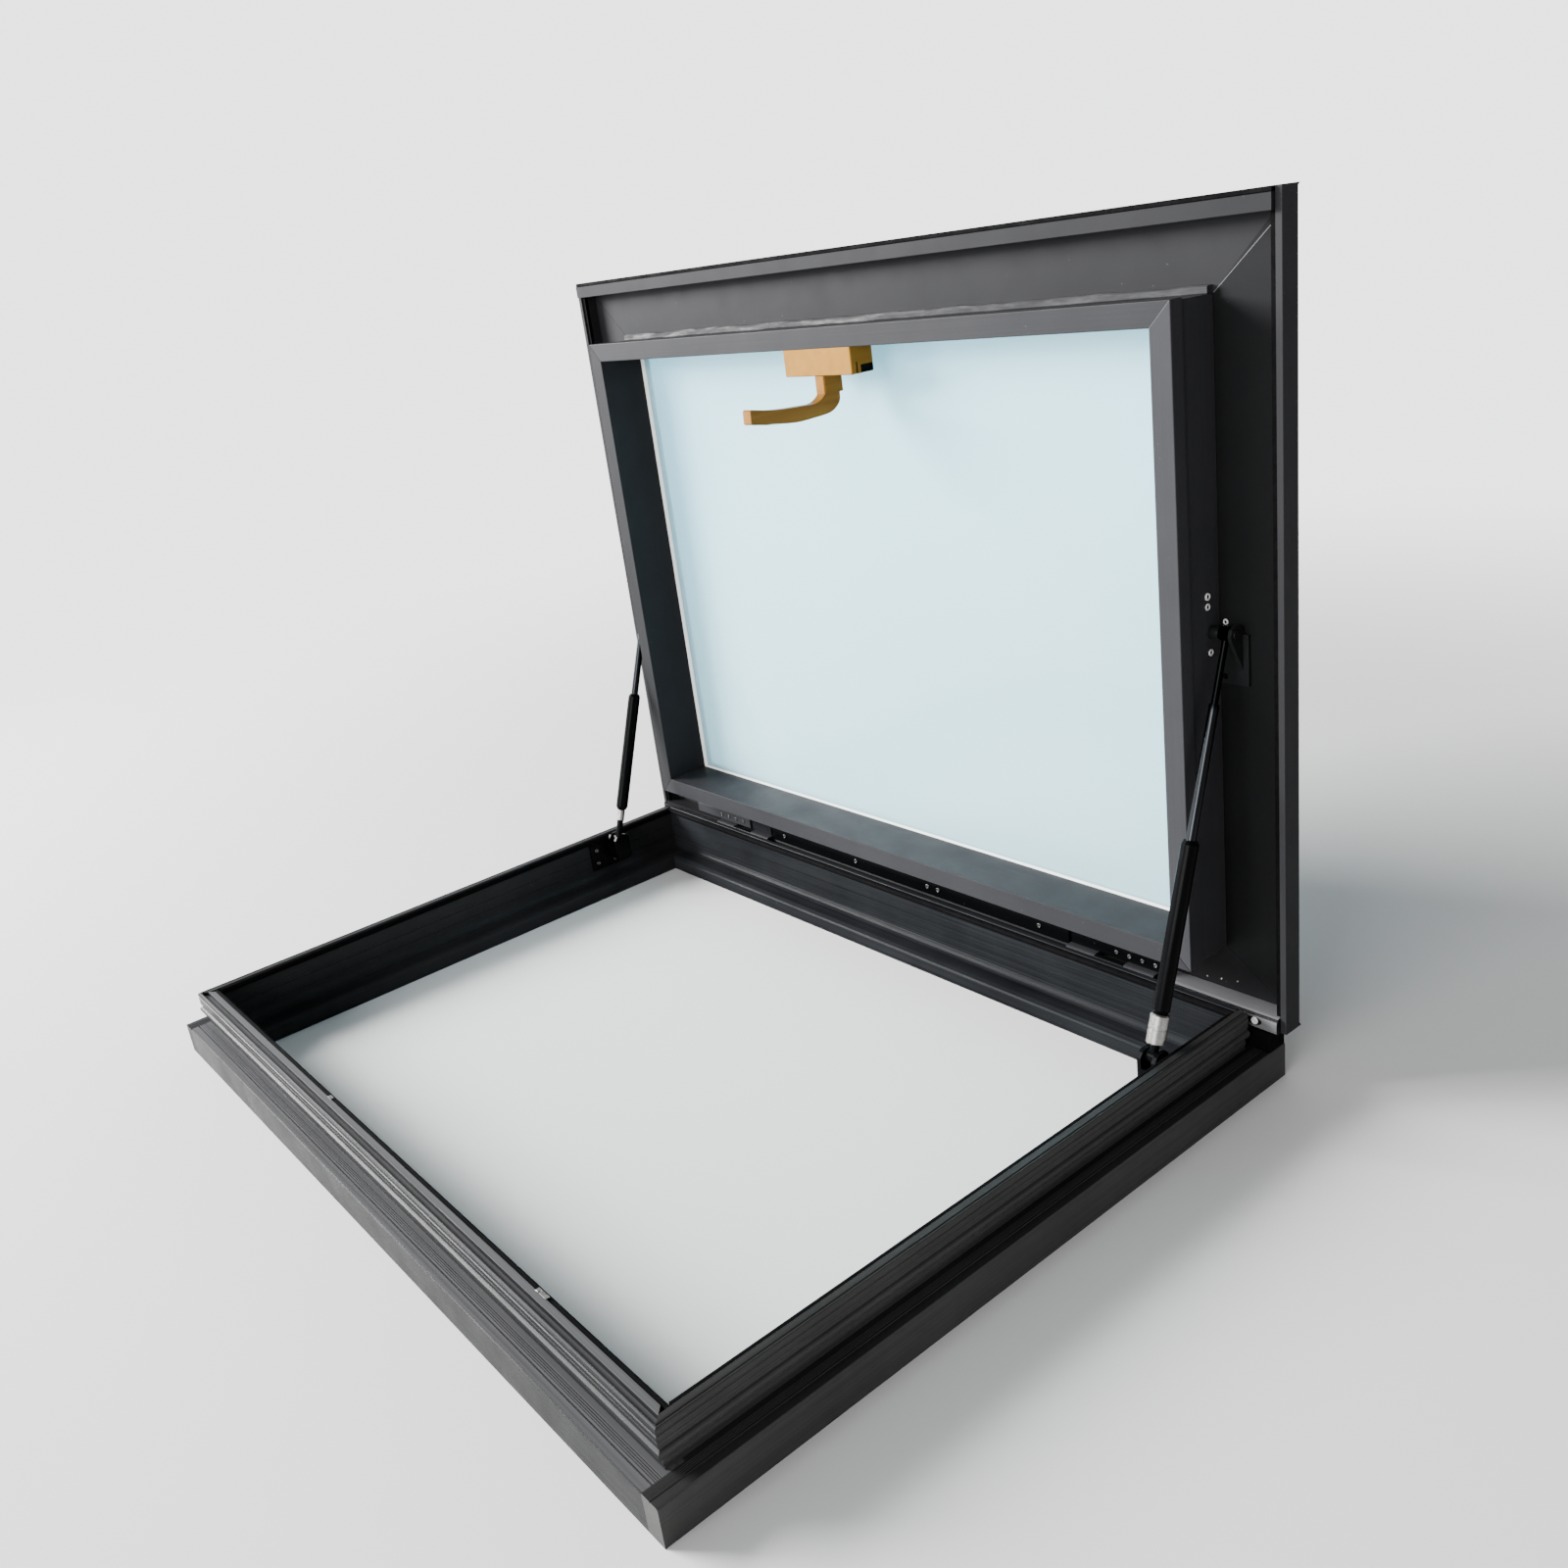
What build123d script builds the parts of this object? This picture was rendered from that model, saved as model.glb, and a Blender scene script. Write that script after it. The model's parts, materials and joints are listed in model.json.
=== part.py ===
from build123d import *
import os

# Roof window: a curb frame that lies flat and a glazed sash standing open on
# hinges along the rear rail.  Units are millimetres, +Z is up, X runs along the
# hinge line and +Y points to the hinge side.  The sash is drawn standing open.

# ------------------------------------------------------------ curb frame
W = 800.0            # outer width of the curb, along the hinge
D = 590.0            # outer depth of the curb
Y_OFF = -7.5         # moves the whole part so that it is centred on the origin
LEDGE_Z = 28.4       # height of the flat outer ledge
LEDGE_A = 18.4       # width of the ledge, outer face to upstand
BUTT_A = 15.6        # strip of the side ledge that runs through to the front
TOP_Z = 61.0         # top of the upstand
FLANGE_A = 53.0      # inner edge of the bottom flange, from the outer face
FLANGE_Z = 15.0      # thickness of the bottom flange
FRONT_IN = 28.4      # inner face of the front and rear upstand
SIDE_IN = 24.0       # inner face of the side upstand
REAR_A = 22.0        # outer face of the rear upstand, set in for the hinges
SIDE_STOP = 25.5     # rear end of the side upstands, in from the rear face
FACE = 1.2           # how far the inner face stands in below its top step

# ------------------------------------------------------------ hinge line
HINGE_Y = 276.8
HINGE_Z = 57.0

# ------------------------------------------------------------ sash, standing open
CX = 410.0           # half width of the cover frame
C_Z0, C_Z1 = 45.5, 639.0
PLATE_Y0, PLATE_Y1 = 296.3, 301.0
RIM_Y = 277.2        # front edge of the rim
RIM_REAR_Y = 280.5   # front edge of the rim at the hinge side
RIM_SIDE, RIM_FRONT, RIM_REAR = 9.2, 14.0, 12.0
SIDE_Y = 281.2       # front edge of the side rims
SIDE_LIP = 5.0       # outer lip of the side rims
SIDE_GROOVE_Y = 286.6  # floor of the gasket groove in the side rims
BACK_EDGE = 2.5      # bevel along the back of the side rims
LIP = 3.3            # black edge of the front rim
GROOVE_Y = 283.0     # floor of the gasket groove in the front rim
RX = 351.0           # half width of the inner frame
R_Z0, R_Z1 = 93.8, 580.0
R_Y0 = 247.7         # front face of the inner frame
R_T = 17.0           # face width of the inner frame
R_LIP = 13.0         # depth of the front lip on the inner frame
R_STEP = 1.5         # set-in behind that lip

# ------------------------------------------------------------ gas struts
SX = 362.0           # plane of the strut, from the middle
FOOT_Y, FOOT_Z = 184.0, 56.0
HEAD_Y, HEAD_Z = 285.6, 350.8
TUBE_R = 6.4

os.makedirs("parts", exist_ok=True)


def put(name, shape):
    shape = Pos(0, Y_OFF, 0) * shape
    export_step(shape, "parts/" + name + ".step")


def box(x0, x1, y0, y1, z0, z1):
    return Pos((x0 + x1) / 2, (y0 + y1) / 2, (z0 + z1) / 2) * Box(
        abs(x1 - x0), abs(y1 - y0), abs(z1 - z0))


def prism(points, direction):
    face = make_face(Polyline(*points, close=True))
    vec = Vector(*direction)
    return extrude(face, amount=vec.length, dir=vec.normalized())


def along_x(section, x0, x1):
    return prism([(x0, y, z) for y, z in section], (x1 - x0, 0, 0))


def along_y(section, y0, y1):
    return prism([(x, y0, z) for x, z in section], (0, y1 - y0, 0))


def upright(plan, z0, z1):
    return prism([(x, y, z0) for x, y in plan], (0, 0, z1 - z0))


# ------------------------------------------------------------ curb sections
# a = distance in from the outer face, z = height
def ledge():
    pts = [(0, 0), (0, LEDGE_Z - 0.9), (0.9, LEDGE_Z), (6.7, LEDGE_Z), (7.0, LEDGE_Z - 0.6),
           (7.5, LEDGE_Z - 0.6), (7.8, LEDGE_Z)]
    for a in (9.3, 10.7, 12.1, 13.5):
        pts += [(a, LEDGE_Z), (a + 0.25, LEDGE_Z - 0.35), (a + 0.5, LEDGE_Z)]
    return pts


def beads():
    # the ribbed outer side of the upstand: a low bead, a rolled bead, a flat wall with a fine line and a rounded shoulder
    return [(LEDGE_A, LEDGE_Z), (LEDGE_A, 31.4), (17.7, 32.2), (17.1, 33.4), (17.2, 35.0), (17.8, 36.2), (18.2, 37.0),
            (17.9, 38.0), (16.6, 38.9), (15.0, 39.9), (13.9, 41.3), (13.4, 42.9), (13.4, 44.2), (13.8, 45.2), (14.8, 45.9),
            (15.8, 46.4), (16.0, 47.2), (15.3, 47.9), (14.9, 48.8), (14.8, 51.8), (15.1, 52.1), (15.1, 52.6), (14.8, 52.9),
            (14.7, 56.2), (15.4, 56.7), (15.5, 57.4), (14.8, 58.0), (14.7, 58.8), (15.0, 59.8), (15.7, 60.6), (16.7, TOP_Z)]


def inner(a_in):
    b = a_in + FACE
    return [(a_in - 0.7, TOP_Z), (a_in, TOP_Z - 0.7), (a_in, 54.6), (b, 53.8), (b, 41.1), (b - 0.6, 40.8),
            (b - 0.6, 40.2), (b, 39.9), (b, 29.6), (b - 0.6, 29.3), (b - 0.6, 28.7), (b, 28.4), (b, 22.5),
            (b + 0.5, 20.2), (b + 1.6, 18.0), (b + 3.4, 16.1), (b + 6.0, FLANGE_Z),
            (FLANGE_A - 4.5, FLANGE_Z), (FLANGE_A - 1.0, FLANGE_Z - 1.6), (FLANGE_A, FLANGE_Z - 3.2),
            (FLANGE_A, 3.0), (FLANGE_A - 0.7, 2.8), (FLANGE_A - 0.7, 2.2), (FLANGE_A, 2.0), (FLANGE_A, 0)]


def section(a_in):
    g = a_in - 5.2   # inner side of the shallow groove along the top
    top = [(17.4, TOP_Z - 0.2), (17.7, TOP_Z - 3.0), (g - 0.9, TOP_Z - 3.4), (g - 0.5, TOP_Z - 0.2), (g, TOP_Z)]
    if g < 20:
        top = [(17.2, TOP_Z - 0.1), (17.4, TOP_Z - 1.6), (18.2, TOP_Z - 1.6), (18.5, TOP_Z - 0.1), (18.8, TOP_Z)]
    return ledge() + beads() + top + inner(a_in)


def rear_section():
    return ledge() + [(REAR_A, LEDGE_Z), (REAR_A, 54.0), (REAR_A + 0.8, 59.4), (REAR_A + 2.0, TOP_Z)] + inner(FRONT_IN)


HX, HY = W / 2, D / 2
BIG = 90.0
sides = {}
for name, s in (("left", -1), ("right", 1)):
    rail = along_y([(s * (HX - a), z) for a, z in section(SIDE_IN)], -HY, HY)
    # the front rail lies inside the through-going ledge strip, and the upstands are mitred
    rail -= box(s * (HX - BUTT_A), s * (HX - 2 * BIG), -HY - 1, -HY + FRONT_IN + FACE, -1, LEDGE_Z)
    rail -= upright([(s * (HX + 1), -HY - 1), (s * (HX - BIG), -HY + BIG), (s * (HX - 2 * BIG), -HY + BIG),
                     (s * (HX - 2 * BIG), -HY - 1)], LEDGE_Z, TOP_Z + 2)
    rail -= box(s * (HX + 1), s * (HX - BIG), HY - SIDE_STOP, HY + 1, LEDGE_Z, TOP_Z + 2)
    sides[name] = rail
    put(name + "_base_rail", rail)

front = along_x([(-HY + a, z) for a, z in section(FRONT_IN)], -HX, HX)
rear = along_x([(HY - a, z) for a, z in rear_section()], -HX, HX)
for name, s in (("left", -1), ("right", 1)):
    front -= box(s * (HX - BUTT_A), s * (HX + 1), -HY - 1, -HY + BIG, -1, LEDGE_Z)
    front -= upright([(s * (HX + 1), -HY - 1), (s * (HX + BIG), -HY - 1), (s * (HX + BIG), -HY + BIG),
                      (s * (HX - BIG), -HY + BIG)], LEDGE_Z, TOP_Z + 2)
    front -= box(s * (HX - FLANGE_A), s * (HX + 1), -HY + FRONT_IN + FACE, -HY + BIG, -1, LEDGE_Z)
    rear -= box(s * (HX - SIDE_IN - FACE), s * (HX + 1), HY - BIG, HY + 1, -1, LEDGE_Z)
    rear -= box(s * (HX - SIDE_IN), s * (HX + 1), HY - BIG, HY + 1, LEDGE_Z - 0.5, TOP_Z + 2)
    rear -= box(s * (HX - FLANGE_A), s * (HX + 1), HY - BIG, HY + 1, -1, FLANGE_Z)
    rear -= sides[name]
put("front_base_rail", front)
put("rear_base_rail", rear)

# ------------------------------------------------------------ curb seals
bead = [(0.0, 60.3), (2.0, 60.5), (3.5, 59.7), (4.1, 58.0), (3.7, 56.0), (2.4, 54.9), (0.9, 54.5), (0.0, 54.9)]
END = 4.8
put("front_base_seal", along_x([(-HY + FRONT_IN + a, z) for a, z in bead], -HX + SIDE_IN + 0.4, HX - SIDE_IN - 0.4))
put("rear_base_seal", along_x([(HY - FRONT_IN - a, z) for a, z in bead], -HX + SIDE_IN + 0.4, HX - SIDE_IN - 0.4))
for name, s in (("left", -1), ("right", 1)):
    put(name + "_base_seal", along_y([(s * (HX - SIDE_IN - a), z) for a, z in bead],
                                     -HY + FRONT_IN + END, HY - FRONT_IN - END))

# ------------------------------------------------------------ latch keepers
for name, x0, x1, rise in (("left", -97.0, -91.0, 0.4), ("right", 236.0, 249.0, 0.7)):
    y0 = -HY + FRONT_IN
    k = box(x0, x1, y0 - 1.4, y0 + 1.8, TOP_Z, TOP_Z + rise)
    k -= box(x0 + 3.4, x0 + 4.2, y0 - 3, y0 + 0.6, TOP_Z - 1, TOP_Z + 3)
    put(name + "_latch_keeper", k)

# ------------------------------------------------------------ hinges
K_R, PIN_R = 3.4, 1.6
for name, s in (("left", -1), ("right", 1)):
    xs = sorted((s * 205.0, s * 295.0))
    m0, m1 = xs[0] + 30.0, xs[1] - 30.0

    def barrel(x0, x1, r):
        return Pos((x0 + x1) / 2, HINGE_Y, HINGE_Z) * (Rot(0, 90, 0) * Cylinder(r, x1 - x0))

    y_up = HY - REAR_A
    leaf = box(xs[0], xs[1], y_up, y_up + 2.0, 30.0, 52.5)
    leaf += box(m0 + 0.4, m1 - 0.4, y_up, y_up + 2.0, 52.0, 53.9)
    leaf += box(m0 + 0.4, m1 - 0.4, y_up + 0.6, HINGE_Y + 1, 53.0, HINGE_Z)
    leaf += barrel(m0 + 0.4, m1 - 0.4, K_R)
    leaf += barrel(xs[0] + 1, xs[1] - 1, PIN_R)
    put(name + "_hinge_base_leaf", leaf)
    leaf = box(xs[0], xs[1], PLATE_Y0 - 2.4, PLATE_Y0, 58.2, 91.0)
    for x0, x1 in ((xs[0], m0), (m1, xs[1])):
        leaf += box(x0, x1, HINGE_Y, PLATE_Y0, 58.2, HINGE_Z + K_R)
        leaf += barrel(x0, x1, K_R)
    leaf -= barrel(xs[0] - 1, xs[1] + 1, PIN_R + 0.05)
    put(name + "_hinge_sash_leaf", leaf)

# ------------------------------------------------------------ cover frame
out = {"tl": (-CX, C_Z1), "tr": (CX, C_Z1), "br": (CX, C_Z0), "bl": (-CX, C_Z0)}
P_X, P_Z0, P_Z1 = 346.0, 98.8, 575.0
inn = {"tl": (-P_X, P_Z1), "tr": (P_X, P_Z1), "br": (P_X, P_Z0), "bl": (-P_X, P_Z0)}
edges = {"front": ("tl", "tr"), "right": ("tr", "br"), "rear": ("br", "bl"), "left": ("bl", "tl")}
L_X = CX - SIDE_LIP          # inner side of the outer lip
G_X = CX - RIM_SIDE          # inner side of the side rim
F_Z = C_Z1 - RIM_FRONT       # underside of the front rim
B_Z = C_Z0 + RIM_REAR        # top of the rear rim
E = 0.3                      # small edge chamfer


def lip_bar(s):
    # the lip of a side rim, with its two front edges eased
    x0, x1 = s * L_X, s * CX
    return upright([(x0, PLATE_Y0), (x0, SIDE_Y + E), (x0 + s * E, SIDE_Y), (x1 - s * E, SIDE_Y), (x1, SIDE_Y + E),
                    (x1, PLATE_Y0)], C_Z0, C_Z1)


for name, (p, r) in edges.items():
    rail = along_y([out[p], out[r], inn[r], inn[p]], PLATE_Y0, PLATE_Y1)
    if name in ("left", "right"):
        s = 1 if name == "right" else -1
        rail += lip_bar(s)
        rail += box(s * G_X, s * L_X, SIDE_GROOVE_Y, PLATE_Y0, B_Z, F_Z)
        rail -= upright([(s * (CX + 1), PLATE_Y1 - BACK_EDGE), (s * CX, PLATE_Y1 - BACK_EDGE), (s * (CX - BACK_EDGE), PLATE_Y1),
                         (s * (CX - BACK_EDGE), PLATE_Y1 + 1), (s * (CX + 1), PLATE_Y1 + 1)], C_Z0 - 1, C_Z1 + 1)
    elif name == "front":
        zc = C_Z1 - LIP
        rail += along_x([(PLATE_Y0, F_Z), (RIM_Y + E, F_Z), (RIM_Y, F_Z + E), (RIM_Y, zc - E), (RIM_Y + E, zc),
                         (GROOVE_Y, zc), (GROOVE_Y, C_Z1), (PLATE_Y0, C_Z1)], -L_X, L_X)
        rail -= box(-CX - 1, -L_X, RIM_Y - 1, PLATE_Y0, F_Z - 2, C_Z1 + 1)
        rail -= box(L_X, CX + 1, RIM_Y - 1, PLATE_Y0, F_Z - 2, C_Z1 + 1)
    else:
        rail += along_x([(PLATE_Y0, C_Z0), (RIM_REAR_Y + E, C_Z0), (RIM_REAR_Y, C_Z0 + E), (RIM_REAR_Y, B_Z - 1.2),
                         (RIM_REAR_Y + 1.2, B_Z), (PLATE_Y0, B_Z)], -L_X, L_X)
        # outside the hinges the rim comes forward to the line of the other rims
        for s in (-1, 1):
            rail += along_x([(PLATE_Y0, C_Z0), (RIM_Y + E, C_Z0), (RIM_Y, C_Z0 + E), (RIM_Y, B_Z - 1.6),
                             (RIM_Y + 0.5, B_Z - 0.5), (RIM_Y + 1.6, B_Z), (PLATE_Y0, B_Z)], s * 297.0, s * L_X)
    put(name + "_cover_rail", rail)

# gasket strips in the rim
for name, s in (("left", -1), ("right", 1)):
    put(name + "_cover_seal", box(s * (G_X + 0.2), s * (L_X - 0.2), SIDE_Y + 1.6, SIDE_GROOVE_Y, B_Z + 0.2, F_Z - 0.2))
put("front_cover_seal", along_x([(GROOVE_Y, C_Z1 - LIP), (RIM_Y + 0.8, C_Z1 - LIP), (RIM_Y + 0.4, C_Z1 - LIP + 0.6),
                                 (RIM_Y + 0.6, C_Z1 - 0.6), (RIM_Y + 1.2, C_Z1), (GROOVE_Y, C_Z1)],
                                -L_X + 0.2, L_X - 0.2))

# ------------------------------------------------------------ inner frame
ro = {"tl": (-RX, R_Z1), "tr": (RX, R_Z1), "br": (RX, R_Z0), "bl": (-RX, R_Z0)}


def ring_line(d):
    return {"tl": (-RX + d, R_Z1 - d), "tr": (RX - d, R_Z1 - d), "br": (RX - d, R_Z0 + d), "bl": (-RX + d, R_Z0 + d)}


rs, ri = ring_line(R_STEP), ring_line(R_T)
for name, (p, r) in edges.items():
    rail = along_y([ro[p], ro[r], ri[r], ri[p]], R_Y0, R_Y0 + R_LIP)
    rail += along_y([rs[p], rs[r], ri[r], ri[p]], R_Y0 + R_LIP, PLATE_Y0)
    put(name + "_inner_rail", rail)

# ------------------------------------------------------------ glazing
put("inner_glass_pane", box(-P_X + 1, P_X - 1, PLATE_Y0, PLATE_Y0 + 4, P_Z0 + 1, P_Z1 - 1))
put("glazing_spacer", box(-343, 343, PLATE_Y0 + 4, 306, 101.8, 572)
    - box(-331, 331, PLATE_Y0 + 3, 307, 113.8, 560))
put("glass_bond_strip", box(-393, 393, PLATE_Y1, 306, 62, 623) - box(-350, 350, PLATE_Y1 - 1, 307, 95, 579))
put("outer_glass_pane", box(-395, 395, 306, 310, 60, 625))

# ------------------------------------------------------------ gas struts
dy, dz = HEAD_Y - FOOT_Y, HEAD_Z - FOOT_Z
L_OPEN = (dy * dy + dz * dz) ** 0.5
LEAN = Vector(0, dy / L_OPEN, dz / L_OPEN)
for name, s, ferrule_r, f0 in (("left", -1, 3.9, 20.0), ("right", 1, 7.3, 10.0)):
    x = s * SX
    base = Plane(origin=(x, FOOT_Y, FOOT_Z), x_dir=(1, 0, 0), z_dir=LEAN)

    def rod(r, a, b):
        return base * (Pos(0, 0, (a + b) / 2) * Cylinder(r, b - a))

    def cone(r0, r1, a, b):
        return base * (Pos(0, 0, (a + b) / 2) * Cone(r0, r1, b - a))

    def cross(yy, zz, r, x0, x1):
        return Pos((x0 + x1) / 2, yy, zz) * (Rot(0, 90, 0) * Cylinder(r, abs(x1 - x0)))

    tube = rod(TUBE_R, 36, 160) + cone(TUBE_R - 1.6, TUBE_R, 33, 36) + cone(TUBE_R, TUBE_R - 1.4, 160, 163)
    tube -= rod(3.75, 32, 164)
    put(name + "_strut_tube", tube)
    ferrule = rod(ferrule_r, f0 + 1, 32) + cone(ferrule_r, ferrule_r - 0.8, 32, 33)
    ferrule += cone(ferrule_r - 0.8, ferrule_r, f0, f0 + 1)
    if name == "right":
        ferrule -= rod(ferrule_r + 1, 21.4, 22.0) - rod(ferrule_r - 0.5, 21, 23)
    put(name + "_strut_ferrule", ferrule)
    eye = rod(3.4, 2, f0) + cross(FOOT_Y, FOOT_Z, 5.0, x - 4, x + 4)
    eye -= cross(FOOT_Y, FOOT_Z, 3.05, x - 6, x + 6)
    put(name + "_strut_eye", eye)
    piston = rod(3.7, 157, L_OPEN - 50) + rod(2.5, L_OPEN - 51, L_OPEN - 3)
    piston += cross(HEAD_Y, HEAD_Z, 5.5, x - 4, x + 4)
    piston -= cross(HEAD_Y, HEAD_Z, 3.05, x - 6, x + 6)
    put(name + "_strut_rod", piston)
    # foot: a plate on the inner face, a bracket arm and two cheeks around the eye
    wall = s * (HX - SIDE_IN - FACE)
    foot = box(wall, wall - s * 2.4, FOOT_Y - 32, FOOT_Y + 16, 24, 53.5)
    foot += box(wall - s * 2, s * (SX - 8), FOOT_Y - 9, FOOT_Y + 9, 34, 48)
    cheek = [(-9, 36), (9, 36), (9, 56.5), (6, 60.5), (2.5, 61.6), (-2.5, 61.6), (-6, 60.5), (-9, 56.5)]
    for c0, c1 in ((SX - 8.0, SX - 4.6), (SX + 4.6, SX + 8.0)):
        foot += along_x([(FOOT_Y + a, z) for a, z in cheek], s * c0, s * c1)
    foot += cross(FOOT_Y, FOOT_Z, 3.0, s * (SX - 9.6), s * (SX + 9.4))
    put(name + "_strut_foot", foot)
    side = s * (RX - R_STEP)
    # head: a plate on the border, an ear and a pin that reaches the wall of the inner frame
    head = box(side, s * 374, PLATE_Y0 - 2.5, PLATE_Y0, 311, 349)
    ear = [(PLATE_Y0, 318), (PLATE_Y0, 349), (292, 356), (286.5, 357.4), (281.4, 355.2), (279.4, 350.6), (281, 346), (290, 330)]
    head += along_x(ear, s * (SX + 4.7), s * (SX + 7.5))
    head += cross(HEAD_Y, HEAD_Z, 3.0, side, s * (SX + 8.4))
    head += cross(HEAD_Y, HEAD_Z, 4.6, side, s * (SX - 4.4))
    put(name + "_strut_head", head)

# ------------------------------------------------------------ handle
case = box(-44, 41.5, 248, 272.5, 541, 563)
case = fillet(case.edges().filter_by(Axis.Z), 1.2)
case = chamfer(case.edges().filter_by(Axis.X).group_by(Axis.Z)[0], 0.6)
case -= box(35, 50, 258.2, 280, 540, 547.8)
case -= box(35, 50, 253.2, 255.2, 540, 550.4)
put("handle_box", case)
with BuildPart() as lever:
    with BuildSketch(Plane(origin=(-5, 0, 0), x_dir=(0, 1, 0), z_dir=(1, 0, 0))):
        with BuildLine():
            Polyline((248.0, 526.4), (264.6, 526.4), (264.4, 521.5))
            Spline((264.4, 521.5), (260.8, 515.4), (254.5, 511.6), (246, 510.0), (226, 508.9), (207, 509.3),
                   (186, 511.6), (168, 514.3), tangents=((-0.1, -1), (-1, 0.17)))
            Polyline((168, 514.3), (167.0, 515.6), (167.4, 525.0), (168.6, 526.2))
            Spline((168.6, 526.2), (186, 523.2), (207, 521.2), (228, 520.4), (241, 521.6), (248.0, 526.4),
                   tangents=((1, -0.17), (0.7, 0.75)))
        make_face()
    extrude(amount=10)
grip = lever.part
try:
    grip = fillet(grip.edges().filter_by(GeomType.BSPLINE), 1.4)
except Exception:
    pass
neck = box(-6, 6, 247.6, 268.4, 526.2, 540.9)
neck = chamfer(neck.edges().filter_by(Axis.Z), 1.0)
put("handle_lever", grip + neck)
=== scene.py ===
import bpy, bmesh, json, math
from mathutils import Matrix, Vector


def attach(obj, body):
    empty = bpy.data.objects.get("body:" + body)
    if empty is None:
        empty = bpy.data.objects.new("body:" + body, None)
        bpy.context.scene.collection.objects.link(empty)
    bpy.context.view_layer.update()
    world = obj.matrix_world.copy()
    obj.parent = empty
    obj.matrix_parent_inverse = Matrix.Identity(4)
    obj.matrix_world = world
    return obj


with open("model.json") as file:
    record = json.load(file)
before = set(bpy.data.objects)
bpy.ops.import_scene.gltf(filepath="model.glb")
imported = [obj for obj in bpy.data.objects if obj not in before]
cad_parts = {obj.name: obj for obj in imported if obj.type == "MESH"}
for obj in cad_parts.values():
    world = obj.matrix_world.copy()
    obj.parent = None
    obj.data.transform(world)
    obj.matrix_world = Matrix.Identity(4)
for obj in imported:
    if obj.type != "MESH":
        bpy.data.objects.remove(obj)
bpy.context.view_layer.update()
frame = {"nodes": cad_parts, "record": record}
nodes = frame["nodes"]
YO = -7.5          # plan offset of the row frame, mm


def P(x, y, z):
    """A drawing point in mm as a point of the row frame in metres."""
    return Vector((x / 1000.0, (y + YO) / 1000.0, z / 1000.0))


# ------------------------------------------------------------------ materials
def new_mat(name):
    m = bpy.data.materials.new(name)
    m.use_nodes = True
    nt = m.node_tree
    return m, nt, nt.nodes["Principled BSDF"]


def link(nt, a, b):
    nt.links.new(a, b)


def coords(nt, scale=(1, 1, 1)):
    tc = nt.nodes.new("ShaderNodeTexCoord")
    mp = nt.nodes.new("ShaderNodeMapping")
    mp.inputs["Scale"].default_value = scale
    link(nt, tc.outputs["Object"], mp.inputs["Vector"])
    return mp.outputs["Vector"]


def noise(nt, vec, scale, detail=3.0, rough=0.55):
    n = nt.nodes.new("ShaderNodeTexNoise")
    n.inputs["Scale"].default_value = scale
    n.inputs["Detail"].default_value = detail
    n.inputs["Roughness"].default_value = rough
    link(nt, vec, n.inputs["Vector"])
    return n.outputs["Fac"]


def ramp(nt, fac, stops):
    r = nt.nodes.new("ShaderNodeValToRGB")
    els = r.color_ramp.elements
    els[0].position, els[0].color = stops[0][0], (*stops[0][1], 1)
    els[1].position, els[1].color = stops[-1][0], (*stops[-1][1], 1)
    for p, c in stops[1:-1]:
        e = els.new(p)
        e.color = (*c, 1)
    link(nt, fac, r.inputs["Fac"])
    return r.outputs["Color"]


def span(nt, fac, lo, hi):
    mr = nt.nodes.new("ShaderNodeMapRange")
    mr.inputs["From Min"].default_value = 0.3
    mr.inputs["From Max"].default_value = 0.7
    mr.inputs["To Min"].default_value = lo
    mr.inputs["To Max"].default_value = hi
    link(nt, fac, mr.inputs["Value"])
    return mr.outputs["Result"]


def madd(nt, a, k, b):
    n = nt.nodes.new("ShaderNodeMath")
    n.operation = "MULTIPLY_ADD"
    n.inputs[1].default_value = k
    link(nt, a, n.inputs[0])
    link(nt, b, n.inputs[2])
    return n.outputs[0]


def bump(nt, height, strength, distance, normal=None):
    b = nt.nodes.new("ShaderNodeBump")
    b.inputs["Strength"].default_value = strength
    b.inputs["Distance"].default_value = distance
    link(nt, height, b.inputs["Height"])
    if normal is not None:
        link(nt, normal, b.inputs["Normal"])
    return b.outputs["Normal"]


def mid(a, b):
    return tuple((p + q) / 2 for p, q in zip(a, b))


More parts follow.
